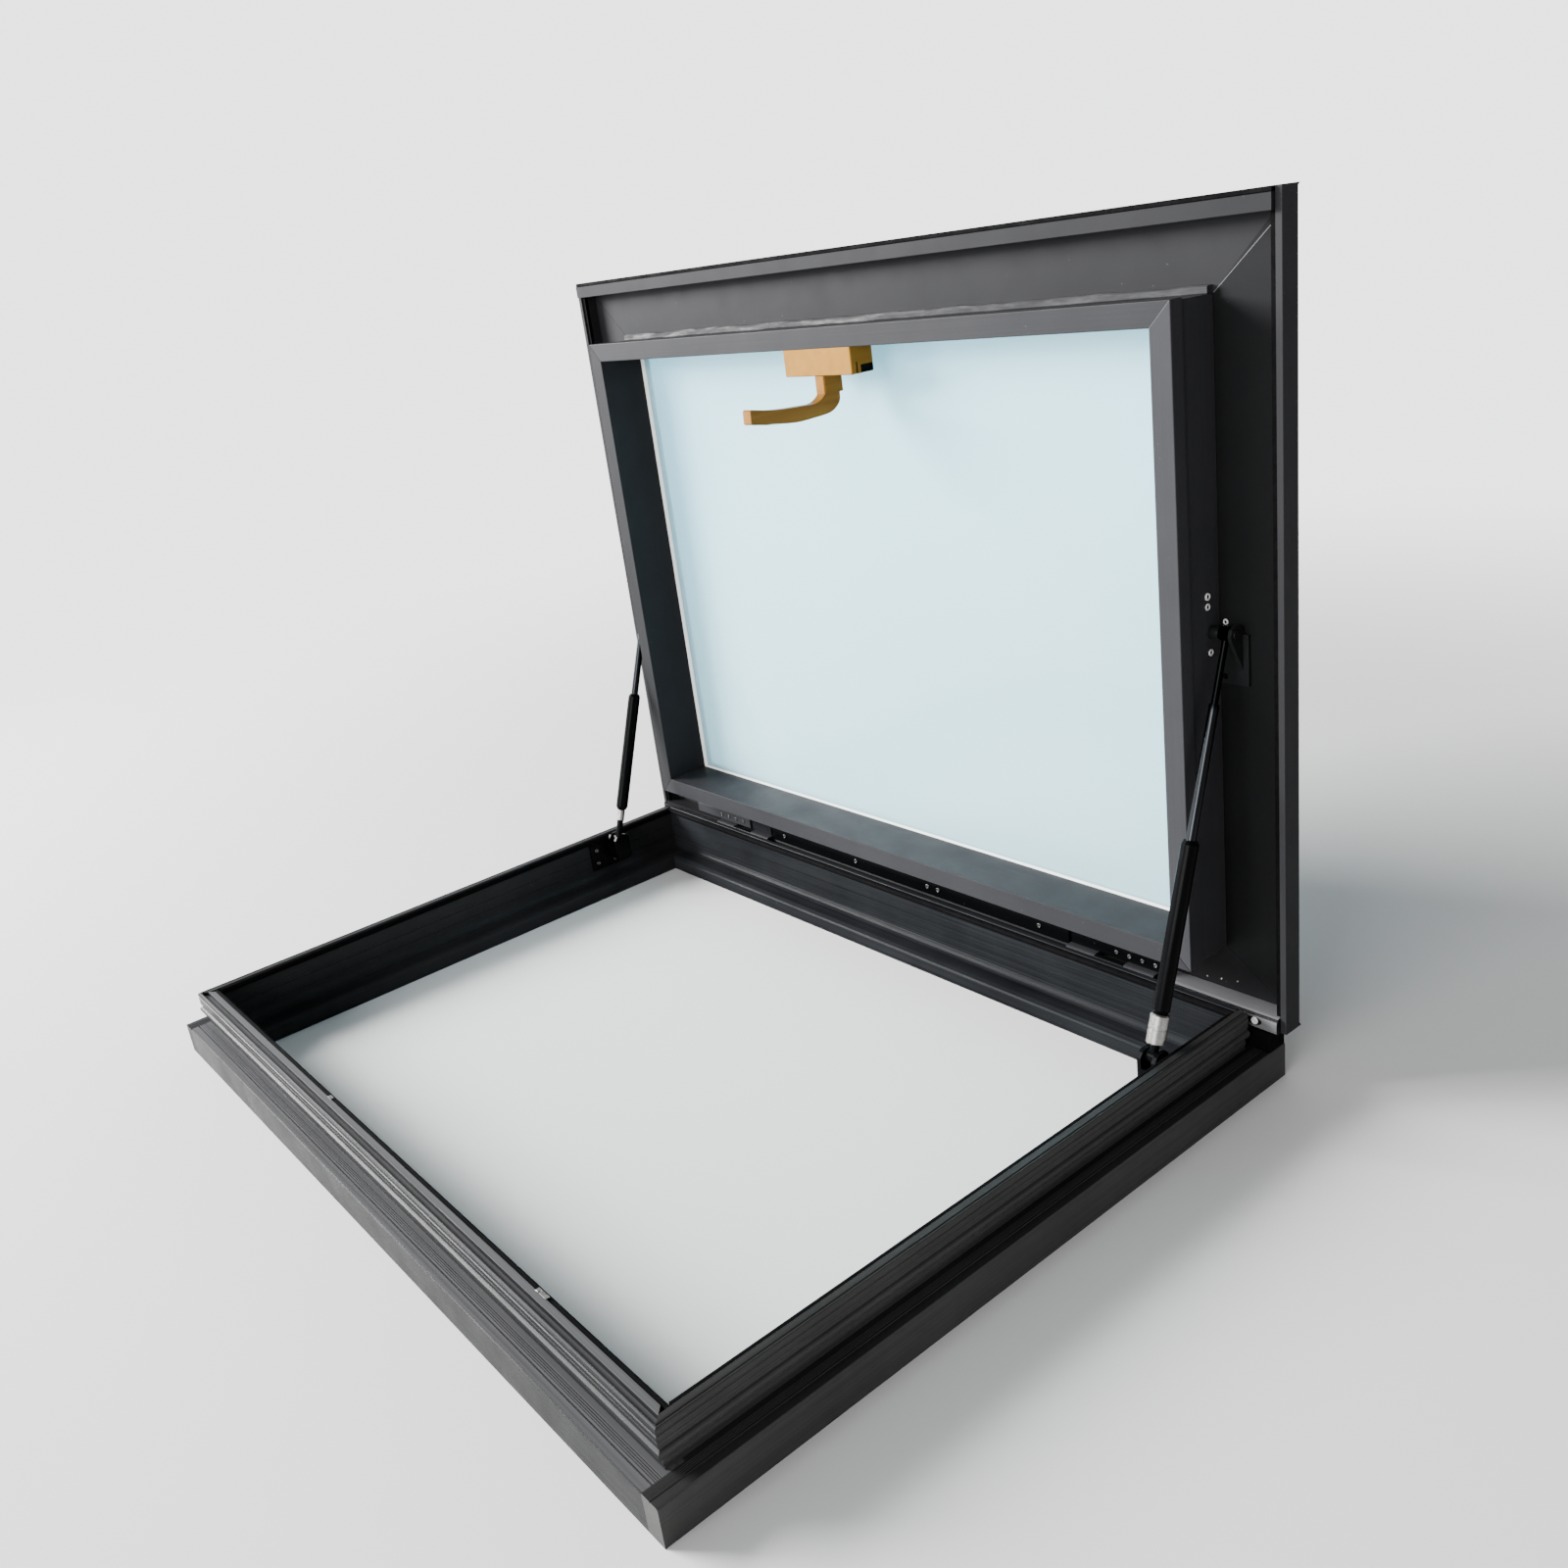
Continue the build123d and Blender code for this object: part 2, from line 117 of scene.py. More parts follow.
def coated(name, dark, light, rough=(0.34, 0.48), spec=0.5, streak=None, lines=0.25, top_light=None, mark=0.34, top=None):
    """Satin coated aluminium: cloudy tone, fine grain, drawing lines along the bar and a few pale specks, and
    optionally painted light or painted shade on faces that look up.
    """
    m, nt, b = new_mat(name)
    v = coords(nt)
    big = noise(nt, v, 7.0, 4.0)
    fine = noise(nt, v, 900.0, 2.0)
    tone = madd(nt, fine, 0.22, big)
    n = bump(nt, fine, 0.08, 0.0004)
    if streak is not None:
        st = noise(nt, coords(nt, streak), 620.0, 3.0, 0.6)
        tone = madd(nt, st, mark, tone)
        sc = nt.nodes.new("ShaderNodeMath")
        sc.operation = "MULTIPLY"
        sc.inputs[1].default_value = 0.6
        link(nt, tone, sc.inputs[0])
        tone = sc.outputs[0]
        n = bump(nt, st, lines, 0.0006, n)
        c, h = 0.6 * (0.61 + 0.5 * mark), 0.6 * (0.15 + 0.22 * mark)
        stops = [(c - h, dark), (c, mid(dark, light)), (c + h, light)]
    else:
        stops = [(0.40, dark), (0.62, mid(dark, light)), (0.84, light)]
    base = ramp(nt, tone, stops)
    speck = ramp(nt, noise(nt, v, 310.0, 1.0), [(0.79, (0, 0, 0)), (0.83, (0.026, 0.026, 0.027))])
    mx = nt.nodes.new("ShaderNodeMix")
    mx.data_type = "RGBA"
    mx.blend_type = "ADD"
    mx.inputs["Factor"].default_value = 1.0
    link(nt, base, mx.inputs[6])
    link(nt, speck, mx.inputs[7])
    colour = mx.outputs[2]
    if top_light is not None or top is not None:
        # faces that look up: painted light added to brighten them, or painted shade multiplied in to darken them
        ge = nt.nodes.new("ShaderNodeNewGeometry")
        sp = nt.nodes.new("ShaderNodeSeparateXYZ")
        link(nt, ge.outputs["Normal"], sp.inputs["Vector"])
        up = nt.nodes.new("ShaderNodeMapRange")
        for k, val in (("From Min", 0.80), ("From Max", 0.99), ("To Min", 0.0), ("To Max", 1.0)):
            up.inputs[k].default_value = val
        link(nt, sp.outputs["Z"], up.inputs["Value"])
        up_face_paint = ramp(nt, noise(nt, coords(nt, streak or (1, 1, 1)), 160.0, 4.0, 0.6),
                    [(0.30, tuple(c * 0.45 for c in (top_light or top))), (0.70, top_light or top)])
        ad = nt.nodes.new("ShaderNodeMix")
        ad.data_type = "RGBA"
        ad.blend_type = "ADD" if top_light is not None else "MULTIPLY"
        link(nt, up.outputs["Result"], ad.inputs["Factor"])
        link(nt, colour, ad.inputs[6])
        link(nt, up_face_paint, ad.inputs[7])
        colour = ad.outputs[2]
    link(nt, colour, b.inputs["Base Color"])
    link(nt, span(nt, noise(nt, v, 34.0, 5.0), *rough), b.inputs["Roughness"])
    link(nt, n, b.inputs["Normal"])
    b.inputs["Specular IOR Level"].default_value = spec
    return m


def rubber(name):
    m, nt, b = new_mat(name)
    v = coords(nt)
    f = noise(nt, v, 260.0, 4.0)
    link(nt, ramp(nt, f, [(0.3, (0.0010, 0.0010, 0.0012)), (0.75, (0.0026, 0.0026, 0.0029))]), b.inputs["Base Color"])
    link(nt, span(nt, noise(nt, v, 60.0), 0.6, 0.8), b.inputs["Roughness"])
    link(nt, bump(nt, f, 0.2, 0.0004), b.inputs["Normal"])
    b.inputs["Specular IOR Level"].default_value = 0.02
    return m


def metal(name, dark, light, rough=(0.22, 0.4), scale=(1, 1, 1), grain=0.08, pure=1.0, spec=0.5):
    m, nt, b = new_mat(name)
    v = coords(nt, scale)
    f = noise(nt, v, 120.0, 4.0)
    link(nt, ramp(nt, f, [(0.3, dark), (0.72, light)]), b.inputs["Base Color"])
    link(nt, span(nt, noise(nt, v, 420.0, 2.0), *rough), b.inputs["Roughness"])
    link(nt, bump(nt, noise(nt, v, 700.0, 2.0), grain, 0.0003), b.inputs["Normal"])
    b.inputs["Metallic"].default_value = pure
    b.inputs["Specular IOR Level"].default_value = spec
    return m


def glass(name, clear=0.60):
    m, nt, b = new_mat(name)
    v = coords(nt)
    f = noise(nt, v, 2.2, 2.0)
    link(nt, ramp(nt, f, [(0.3, (0.56, 0.88, 0.99)), (0.7, (0.64, 0.915, 0.995))]), b.inputs["Base Color"])
    link(nt, span(nt, noise(nt, v, 14.0, 3.0), 0.06, 0.14), b.inputs["Roughness"])
    link(nt, bump(nt, noise(nt, v, 3.0, 1.0), 0.03, 0.002), b.inputs["Normal"])
    b.inputs["Transmission Weight"].default_value = clear
    b.inputs["IOR"].default_value = 1.35
    b.inputs["Specular IOR Level"].default_value = 0.3
    return m


ALONG_X, ALONG_Y = (0.005, 1, 1), (1, 0.005, 1)
M = {
    # lit and shaded copies of one curb coat: the left and rear copies are darker as painted shade; the right copy is
    # lighter as painted light on its side face, with painted shade on its top
    "curb_aluminium": coated("curb_front_coating", (0.0050, 0.0052, 0.0056), (0.0130, 0.0133, 0.0140), (0.26, 0.36), 0.036, ALONG_X, 0.30,
                             (0.064, 0.064, 0.066), 0.7),
    "curb_left": coated("curb_left_coat_painted_shade", (0.008, 0.008, 0.0088), (0.0145, 0.0145, 0.0157), (0.36, 0.48), 0.07, ALONG_Y),
    "curb_right": coated("curb_right_coat_painted_light_and_shade", (0.026, 0.026, 0.0254), (0.051, 0.051, 0.0499), (0.36, 0.48), 0.08, ALONG_Y, 0.25, None, 0.6,
                         (0.45, 0.45, 0.45)),
    "curb_rear": coated("curb_rear_coat_painted_shade", (0.0022, 0.0025, 0.0030), (0.0140, 0.0150, 0.0168), (0.30, 0.42), 0.022, ALONG_X, 0.6, None, 0.9),
    # lit and shaded copies of one sash coat: the right stile and right cover copies are lighter as painted light; the
    # left stile, cover and rear copies are darker as painted shade
    "sash_aluminium": coated("sash_coating", (0.0163, 0.0165, 0.0184), (0.0225, 0.0225, 0.0246), (0.46, 0.58), 0.07, (0.006, 1, 1), 0.10),
    "sash_stile": coated("sash_stile_coat_painted_light", (0.0240, 0.0243, 0.0268), (0.0333, 0.0334, 0.0362), (0.46, 0.58), 0.07, (1, 1, 0.006), 0.10),
    "sash_stile_left": coated("sash_left_stile_coat_painted_shade", (0.0110, 0.0112, 0.0124), (0.0155, 0.0155, 0.0168), (0.46, 0.58), 0.07, (1, 1, 0.006), 0.10),
    "sash_cover": coated("sash_cover_coat_painted_shade", (0.0106, 0.0107, 0.0119), (0.0144, 0.0144, 0.0157), (0.46, 0.58), 0.06),
    "sash_cover_right": coated("sash_right_cover_coat_painted_light", (0.0159, 0.0160, 0.0174), (0.0216, 0.0216, 0.0232), (0.46, 0.58), 0.06),
    "sash_rear": coated("sash_rear_coat_painted_shade", (0.0054, 0.0054, 0.006), (0.0086, 0.0086, 0.0094), (0.46, 0.58), 0.05),
    "strut_head": coated("strut_head_coating", (0.006, 0.0064, 0.0068), (0.011, 0.0115, 0.012), (0.34, 0.46), 0.08),
    "black_steel": coated("black_coating", (0.0010, 0.0011, 0.0013), (0.0020, 0.0022, 0.0025), (0.20, 0.30), 0.03),
    "black_rubber": rubber("black_rubber"),
    "clear_glass": glass("pale_glass"),
    "outer_glass": glass("clear_outer_glass", 0.93),
    "enamel": coated("black_enamel", (0.003, 0.003, 0.0034), (0.006, 0.006, 0.0066), (0.2, 0.3), 0.2),
    "pale_spacer": metal("spacer_metal", (0.74, 0.78, 0.79), (0.84, 0.88, 0.89), (0.4, 0.6), (1, 1, 1), 0.08, 0.1),
    "gold_handle": metal("champagne_gold", (0.205, 0.096, 0.0120), (0.245, 0.119, 0.0170), (0.38, 0.46), (1, 0.02, 1), 0.02, 0.35, 0.08),
    "gold_lever": metal("brushed_gold", (0.145, 0.060, 0.0080), (0.225, 0.100, 0.0150), (0.34, 0.44), (0.3, 0.05, 1), 0.05, 0.35, 0.10),
    "rod_steel": metal("grey_rod_steel", (0.009, 0.010, 0.011), (0.020, 0.0217, 0.0235), (0.16, 0.25), (1, 0.05, 0.05), 0.04),
    "bright_steel": metal("bright_steel", (0.22, 0.217, 0.208), (0.31, 0.306, 0.295), (0.25, 0.42)),
}

def fade_to_painted_shade(mat, axis, start, end, share0, share1):
    """Fades a coat towards black along one axis of its piece (metres), as painted shade."""
    nt = mat.node_tree
    b = next(n for n in nt.nodes if n.type == "BSDF_PRINCIPLED")
    plain = b.inputs["Base Color"].links[0].from_socket
    xyz = nt.nodes.new("ShaderNodeSeparateXYZ")
    link(nt, coords(nt), xyz.inputs[0])
    gate = nt.nodes.new("ShaderNodeMapRange")
    gate.interpolation_type = "SMOOTHSTEP"
    link(nt, xyz.outputs[axis], gate.inputs["Value"])
    gate.inputs["From Min"].default_value = start
    gate.inputs["From Max"].default_value = end
    gate.inputs["To Min"].default_value = share0
    gate.inputs["To Max"].default_value = share1
    mix = nt.nodes.new("ShaderNodeMix")
    mix.data_type = "RGBA"
    link(nt, gate.outputs[0], mix.inputs[0])
    link(nt, plain, mix.inputs[6])
    mix.inputs[7].default_value = (0.0010, 0.0012, 0.0013, 1.0)
    link(nt, mix.outputs[2], b.inputs["Base Color"])


# the thin upper stage of the rods and the sunk border beside the right rim are darker: painted shade, faded towards
# black
fade_to_painted_shade(M["rod_steel"], 2, 0.299, 0.304, 0.0, 0.92)
fade_to_painted_shade(M["sash_cover_right"], 0, 0.3995, 0.4010, 0.78, 0.0)

slot_of = {s["node"]: s["material_slot"] for s in frame["record"]["subparts"]}
# parts with their own coats, among them the lighter and darker copies of one coat that paint light and shade
special = {"left_base_rail": "curb_left", "right_base_rail": "curb_right", "rear_base_rail": "curb_rear",
           "rear_cover_rail": "sash_rear", "front_cover_rail": "sash_cover", "left_cover_rail": "sash_cover",
           "right_cover_rail": "sash_cover_right", "right_inner_rail": "sash_stile", "left_inner_rail": "sash_stile_left",
           "handle_lever": "gold_lever", "outer_glass_pane": "outer_glass", "left_strut_head": "strut_head", "right_strut_head": "strut_head",
           "left_strut_rod": "rod_steel", "right_strut_rod": "rod_steel"}
for n, o in nodes.items():
    o.data.materials.clear()
    o.data.materials.append(M[special.get(n, slot_of[n])])


def ease(node, width, segments=2, angle=32.0):
    """Rounds the sharp edges of a CAD piece for the picture only."""
    o = nodes[node]
    w = o.modifiers.new("join", "WELD")
    w.merge_threshold = 0.000002
    b = o.modifiers.new("ease", "BEVEL")
    b.width = width
    b.segments = segments
    b.limit_method = "ANGLE"
    b.angle_limit = math.radians(angle)


for n in nodes:
    if n.endswith("_inner_rail"):
        ease(n, 0.0006)
    elif n.endswith("_strut_foot") or n.endswith("_strut_head") or n.endswith("_latch_keeper"):
        ease(n, 0.0004)


# ------------------------------------------------------------------ small pieces
def piece(name, bm, mat, smooth=False):
    me = bpy.data.meshes.new(name)
    bmesh.ops.recalc_face_normals(bm, faces=bm.faces[:])
    bm.to_mesh(me)
    bm.free()
    if smooth:
        for f in me.polygons:
            f.use_smooth = True
    o = bpy.data.objects.new(name, me)
    bpy.context.scene.collection.objects.link(o)
    me.materials.append(mat)
    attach(o, "root")
    return o


def add_prism(bm, pts, vec):
    """A prism from a ring of mm points, pushed along vec (mm)."""
    lo = [bm.verts.new(P(*p)) for p in pts]
    hi = [bm.verts.new(P(p[0] + vec[0], p[1] + vec[1], p[2] + vec[2])) for p in pts]
    bm.faces.new(lo[::-1])
    bm.faces.new(hi)
    for i in range(len(pts)):
        j = (i + 1) % len(pts)
        bm.faces.new((lo[i], lo[j], hi[j], hi[i]))


def add_slab(bm, x0, x1, y0, y1, z0, z1, c=0.3):
    """A slab along X with its long edges eased."""
    sec = [(y0 + c, z0), (y1 - c, z0), (y1, z0 + c), (y1, z1 - c), (y1 - c, z1), (y0 + c, z1), (y0, z1 - c), (y0, z0 + c)]
    add_prism(bm, [(x0, y, z) for y, z in sec], (x1 - x0, 0, 0))


def add_lathe(bm, at, axis, profile, steps=28):
    """Turns a profile of (radius, height) pairs in mm about an axis through at."""
    axis = Vector(axis).normalized()
    u = axis.orthogonal().normalized()
    w = axis.cross(u)
    rings = []
    for r, h in profile:
        c = Vector(at) + axis * h
        if r < 1e-6:
            rings.append([bm.verts.new(P(*c))])
            continue
        rings.append([bm.verts.new(P(*(c + (u * math.cos(t) + w * math.sin(t)) * r)))
                      for t in (2 * math.pi * k / steps for k in range(steps))])
    for a, b in zip(rings, rings[1:]):
        for i in range(steps):
            j = (i + 1) % steps
            q = [a[i % len(a)], a[j % len(a)], b[j % len(b)], b[i % len(b)]]
            q = [v for k, v in enumerate(q) if v not in q[:k]]
            if len(q) > 2:
                bm.faces.new(q)


def socket_head(r, h):
    """A low round screw head with a deep round socket."""
    return [(r * 0.96, 0), (r, h * 0.25), (r, h * 0.6), (r * 0.9, h * 0.92), (r * 0.74, h), (r * 0.56, h),
            (r * 0.52, h * 0.9), (r * 0.5, h * 0.3), (r * 0.3, h * 0.22), (0, h * 0.22)]


def screws(name, places, axis, r, h, mat):
    bm = bmesh.new()
    for p in places:
        add_lathe(bm, p, axis, socket_head(r, h))
    return piece(name, bm, mat, True)


def hexagon(bm, at, axis, r, h0, h1, hole):
    """A hexagon nut with a chamfered outer face and a hole."""
    axis = Vector(axis).normalized()
    u = axis.orthogonal().normalized()
    w = axis.cross(u)

    def ring(rad, hh):
        c = Vector(at) + axis * hh
        return [bm.verts.new(P(*(c + (u * math.cos(k * math.pi / 3) + w * math.sin(k * math.pi / 3)) * rad))) for k in range(6)]

    rings = [ring(hole, h0), ring(r, h0), ring(r, h1 - 0.4), ring(r * 0.88, h1), ring(hole, h1)]
    for a, b in zip(rings, rings[1:]):
        for i in range(6):
            j = (i + 1) % 6
            bm.faces.new((a[i], a[j], b[j], b[i]))
    for i in range(6):
        j = (i + 1) % 6
        a, b = rings[-1], rings[0]
        bm.faces.new((a[i], a[j], b[j], b[i]))


steel, dark_steel = M["bright_steel"], M["black_steel"]
# pale screw steel: painted light, a light diffuse colour in place of the dark reflections bright steel would show
screw_painted_light = metal("screw_steel_painted_light", (0.46, 0.47, 0.46), (0.66, 0.67, 0.66), (0.4, 0.55), (1, 1, 1), 0.08, 0.15, 0.3)
dull = metal("dull_screw_steel", (0.07, 0.07, 0.07), (0.13, 0.13, 0.128), (0.3, 0.45))
# pale joint colour: painted highlight for the lit mitre joints
joint_painted_highlight = coated("joint_edge_painted_highlight", (0.055, 0.056, 0.058), (0.090, 0.091, 0.094), (0.3, 0.4), 0.3)

# screws of the strut heads, feet and the rear border
for side, s in (("right", 1), ("left", -1)):
    spots = [((s * 349.5, 281.8, 377.3), (s, 0, 0), 2.8), ((s * 349.5, 281.6, 370.0), (s, 0, 0), 2.6),
             ((s * 349.5, 284.3, 336.0), (s, 0, 0), 2.6), ((s * 354.4, 296.3, 356.0), (0, -1, 0), 2.2)]
    bm = bmesh.new()
    for at, ax, r in spots:
        add_lathe(bm, at, ax, [(r * 0.5, 0), (r, 0), (r, 0.6), (r * 0.86, 1.0), (r * 0.66, 1.0), (r * 0.5, 0.7), (r * 0.5, 0)])
    piece("strut_head_screws_" + side, bm, screw_painted_light, True)
    # black discs in the screw heads: painted shade of the sockets
    bm = bmesh.new()
    for at, ax, r in spots:
        add_lathe(bm, at, ax, [(r * 0.47, 0), (r * 0.47, 0.4), (r * 0.4, 0.55), (0, 0.55)], 20)
    piece("strut_head_sockets_" + side, bm, M["black_rubber"], True)
    screws("strut_plate_screws_" + side, [(s * 355.0, 293.8, 316.5), (s * 355.0, 293.8, 341.0)], (0, -1, 0), 2.1, 0.9, dark_steel)
    screws("strut_foot_screws_" + side, [(s * 372.4, 181.5, 29.5), (s * 372.4, 159.5, 31.5), (s * 372.4, 159.5, 46.5)],
           (-s, 0, 0), 2.2, 1.1, dull)
    bm = bmesh.new()
    hexagon(bm, (s * 370.0, 184.0, 56.0), (s, 0, 0), 4.6, 0.1, 1.6, 3.05)
    hexagon(bm, (s * 354.0, 184.0, 56.0), (-s, 0, 0), 4.6, 0.1, 2.3, 3.05)
    piece("strut_foot_nuts_" + side, bm, dark_steel)
    screws("rear_border_rivets_" + side, [(s * 331.1, 296.3, 63.0), (s * 344.0, 296.3, 65.0), (s * 358.5, 296.3, 67.3)],
           (0, -1, 0), 0.8, 0.5, steel)
    # slotted fixing in the front of the rear rim; the slot is a flat black oval on the face, painted shade
    bm = bmesh.new()
    add_prism(bm, [(s * 385.4 + 6.4 * math.cos(t), 276.7, 51.6 + 3.2 * math.sin(t)) for t in
                   (2 * math.pi * k / 32 for k in range(32))], (0, -0.25, 0))
    piece("rim_slot_" + side, bm, M["black_rubber"])
    bm = bmesh.new()
    add_lathe(bm, (s * 386.0, 276.5, 51.8), (0, -1, 0), [(3.0, 0), (3.0, 0.5), (2.5, 0.9), (1.7, 0.9), (1.6, 0.5), (0.0, 0.4)])
    piece("rim_slot_screw_" + side, bm, screw_painted_light, True)
    # soft block that closes the corner between the ledge and the rim
    bm = bmesh.new()
    add_prism(bm, [(s * 376.6, y, z) for y, z in ((275.2, 28.5), (294.0, 28.5), (294.6, 29.4), (294.6, 44.6), (294.0, 45.4), (275.4, 45.4),
                                                  (274.4, 44.4), (274.2, 40.0), (274.7, 31.0))], (s * 23.0, 0, 0))
    piece("rear_corner_gasket_" + side, bm, M["black_rubber"])

# strip on top of the rear rim beside the hinges: the right copy is pale, painted light on the lit rim top; the left
# copy takes the darker rear coat, painted shade
rim_top_painted_light = coated("rim_lining", (0.085, 0.085, 0.088), (0.130, 0.130, 0.134), (0.26, 0.36), 0.35, ALONG_X)
for side, s in (("right", 1), ("left", -1)):
    bm = bmesh.new()
    sec = [(277.2, 46.0), (277.2, 55.9), (277.7, 57.0), (278.8, 57.5), (296.2, 57.5), (296.2, 58.3), (281.6, 58.3), (280.2, 58.1),
           (279.0, 57.6), (278.0, 56.8), (277.2, 55.7), (276.8, 54.4), (276.7, 53.0), (276.7, 46.4), (276.9, 46.0)]
    add_prism(bm, [(s * 299.0, y, z) for y, z in sec], (s * 105.4, 0, 0))
    piece("rim_lining_" + side, bm, rim_top_painted_light if s > 0 else M["sash_rear"])

# angle strip along the hinge line, with its screws and stop plate
bm = bmesh.new()
add_prism(bm, [(-203.0, y, z) for y, z in ((281.2, 57.6), (296.2, 57.6), (296.2, 59.2), (283.0, 59.2), (283.0, 72.6),
                                           (282.6, 73.0), (281.6, 73.0), (281.2, 72.6))], (406.0, 0, 0))
piece("hinge_angle", bm, dark_steel)
screws("hinge_angle_screws", [(x, 281.2, 65.5) for x in (-182.0, -69.2, 32.2, 46.0, 170.0)], (0, -1, 0), 2.4, 1.0, dull)
bm = bmesh.new()
add_slab(bm, -238.0, -206.0, 281.4, 283.0, 60.6, 69.6)
add_slab(bm, -231.0, -213.0, 280.9, 281.45, 64.6, 65.8, 0.15)
piece("hinge_stop_plate", bm, M["curb_rear"])
for side, s in (("right", 1), ("left", -1)):
    bm = bmesh.new()
    x0, x1 = (206.0, 298.0) if s > 0 else (-338.0, -242.0)
    add_slab(bm, x0, x1, 281.0, 283.0, 60.5, 71.0)
    piece("hinge_leaf_front_" + side, bm, dark_steel if s > 0 else M["sash_aluminium"])
    screws("hinge_leaf_screws_" + side, [(s * x, 281.0, 66.2) for x in (254.0, 267.0, 280.0, 293.0)], (0, -1, 0), 2.0, 0.9, dull)


# mitre joints of the cover border and of the inner frame, as hairline edges: pale on the top-right corner as a painted
# highlight, elsewhere in the darker rear coat as painted shade
def add_line(bm, a, b, y, wide, proud):
    """A hairline ridge between two (x, z) points on a face that looks to -Y."""
    d = Vector((b[0] - a[0], b[1] - a[1])).normalized()
    n = Vector((-d.y, d.x)) * wide / 2
    add_prism(bm, [(a[0] + n.x, y, a[1] + n.y), (b[0] + n.x, y, b[1] + n.y), (b[0], y - proud, b[1]), (a[0], y - proud, a[1])][:2]
              + [(b[0] - n.x, y, b[1] - n.y), (a[0] - n.x, y, a[1] - n.y)], (0, -proud, 0))


bm = bmesh.new()
add_line(bm, (400.6, 623.4), (350.0, 578.9), 296.3, 0.55, 0.14)
piece("cover_mitre_joint_right", bm, joint_painted_highlight)
bm = bmesh.new()
add_line(bm, (-400.6, 623.4), (-350.0, 578.9), 296.3, 0.4, 0.10)
for s in (-1, 1):
    add_line(bm, (s * 400.6, 59.7), (s * 350.0, 95.0), 296.3, 0.5, 0.12)
piece("cover_mitre_joints", bm, M["sash_rear"])
bm = bmesh.new()
add_line(bm, (350.4, 579.4), (334.4, 563.4), 247.7, 0.45, 0.12)
piece("inner_frame_mitre_joint_right", bm, joint_painted_highlight)
bm = bmesh.new()
add_line(bm, (-350.4, 579.4), (-334.4, 563.4), 247.7, 0.4, 0.10)
for s in (-1, 1):
    add_line(bm, (s * 350.4, 94.4), (s * 334.4, 110.4), 247.7, 0.4, 0.10)
piece("inner_frame_mitre_joints", bm, M["sash_rear"])

# pale glazing beads round the glass
m, nt, b = new_mat("pale_bead")
v = coords(nt)
link(nt, ramp(nt, noise(nt, v, 40.0), [(0.3, (0.82, 0.87, 0.87)), (0.7, (0.90, 0.93, 0.93))]), b.inputs["Base Color"])
link(nt, span(nt, noise(nt, v, 90.0), 0.4, 0.6), b.inputs["Roughness"])
link(nt, bump(nt, noise(nt, v, 160.0), 0.15, 0.0004), b.inputs["Normal"])
bm = bmesh.new()
gx, g0, g1 = 334.0, 110.8, 563.0


def add_bead(x0, x1, z0, z1):
    sec = [(x0, z0), (x1, z0), (x1, z1), (x0, z1)]
    add_prism(bm, [(x, 296.28, z) for x, z in sec], (0, -0.7, 0))


add_bead(-gx + 0.1, gx - 0.1, g0 + 0.1, g0 + 2.4)
add_bead(-gx + 0.1, gx - 0.1, g1 - 3.0, g1 - 0.1)
add_bead(gx - 2.6, gx - 0.1, g0 + 2.4, g1 - 3.0)
add_bead(-gx + 0.1, -gx + 6.0, g0 + 2.4, g1 - 3.0)
piece("glazing_beads", bm, m)


# dark enamel border in the outer pane, over the cover frame
bm = bmesh.new()
loops = [[bm.verts.new(P(x, y, z)) for x, z in ((-hx, z0), (hx, z0), (hx, z1), (-hx, z1))]
         for hx, z0, z1, y in ((394.6, 60.4, 624.6, 309.8), (394.6, 60.4, 624.6, 309.4), (336.5, 107.0, 566.8, 309.4), (336.5, 107.0, 566.8, 309.8))]
for p, q in zip(loops, loops[1:] + loops[:1]):
    for i in range(4):
        j = (i + 1) % 4
        bm.faces.new((p[i], p[j], q[j], q[i]))
piece("outer_pane_border", bm, M["enamel"])

# sealing strip over the top of the inner frame, with pale streaks that grow stronger towards one end
m, nt, b = new_mat("streaked_top_strip")
tc = nt.nodes.new("ShaderNodeTexCoord")
sp = nt.nodes.new("ShaderNodeSeparateXYZ")
link(nt, tc.outputs["Object"], sp.inputs["Vector"])
gate = nt.nodes.new("ShaderNodeMapRange")
gate.interpolation_type = "SMOOTHSTEP"
for k, val in (("From Min", -0.12), ("From Max", 0.22), ("To Min", 1.0), ("To Max", 0.22)):
    gate.inputs[k].default_value = val
link(nt, sp.outputs["X"], gate.inputs["Value"])
pale_streaks = ramp(nt, noise(nt, coords(nt, (0.16, 1, 1)), 170.0, 4.0, 0.6), [(0.44, (0, 0, 0)), (0.52, (0.022, 0.022, 0.022)), (0.66, (0.11, 0.11, 0.109))])
coat = ramp(nt, noise(nt, coords(nt, (0.01, 1, 1)), 420.0, 3.0), [(0.3, (0.015, 0.015, 0.0166)), (0.7, (0.029, 0.029, 0.031))])
ad = nt.nodes.new("ShaderNodeMix")
ad.data_type = "RGBA"
ad.blend_type = "ADD"
link(nt, gate.outputs["Result"], ad.inputs["Factor"])
link(nt, coat, ad.inputs[6])
link(nt, pale_streaks, ad.inputs[7])
link(nt, ad.outputs[2], b.inputs["Base Color"])
link(nt, span(nt, noise(nt, coords(nt), 140.0), 0.5, 0.7), b.inputs["Roughness"])
link(nt, bump(nt, noise(nt, coords(nt, (0.2, 1, 1)), 240.0), 0.4, 0.0006), b.inputs["Normal"])
b.inputs["Specular IOR Level"].default_value = 0.1
bm = bmesh.new()
rows = []
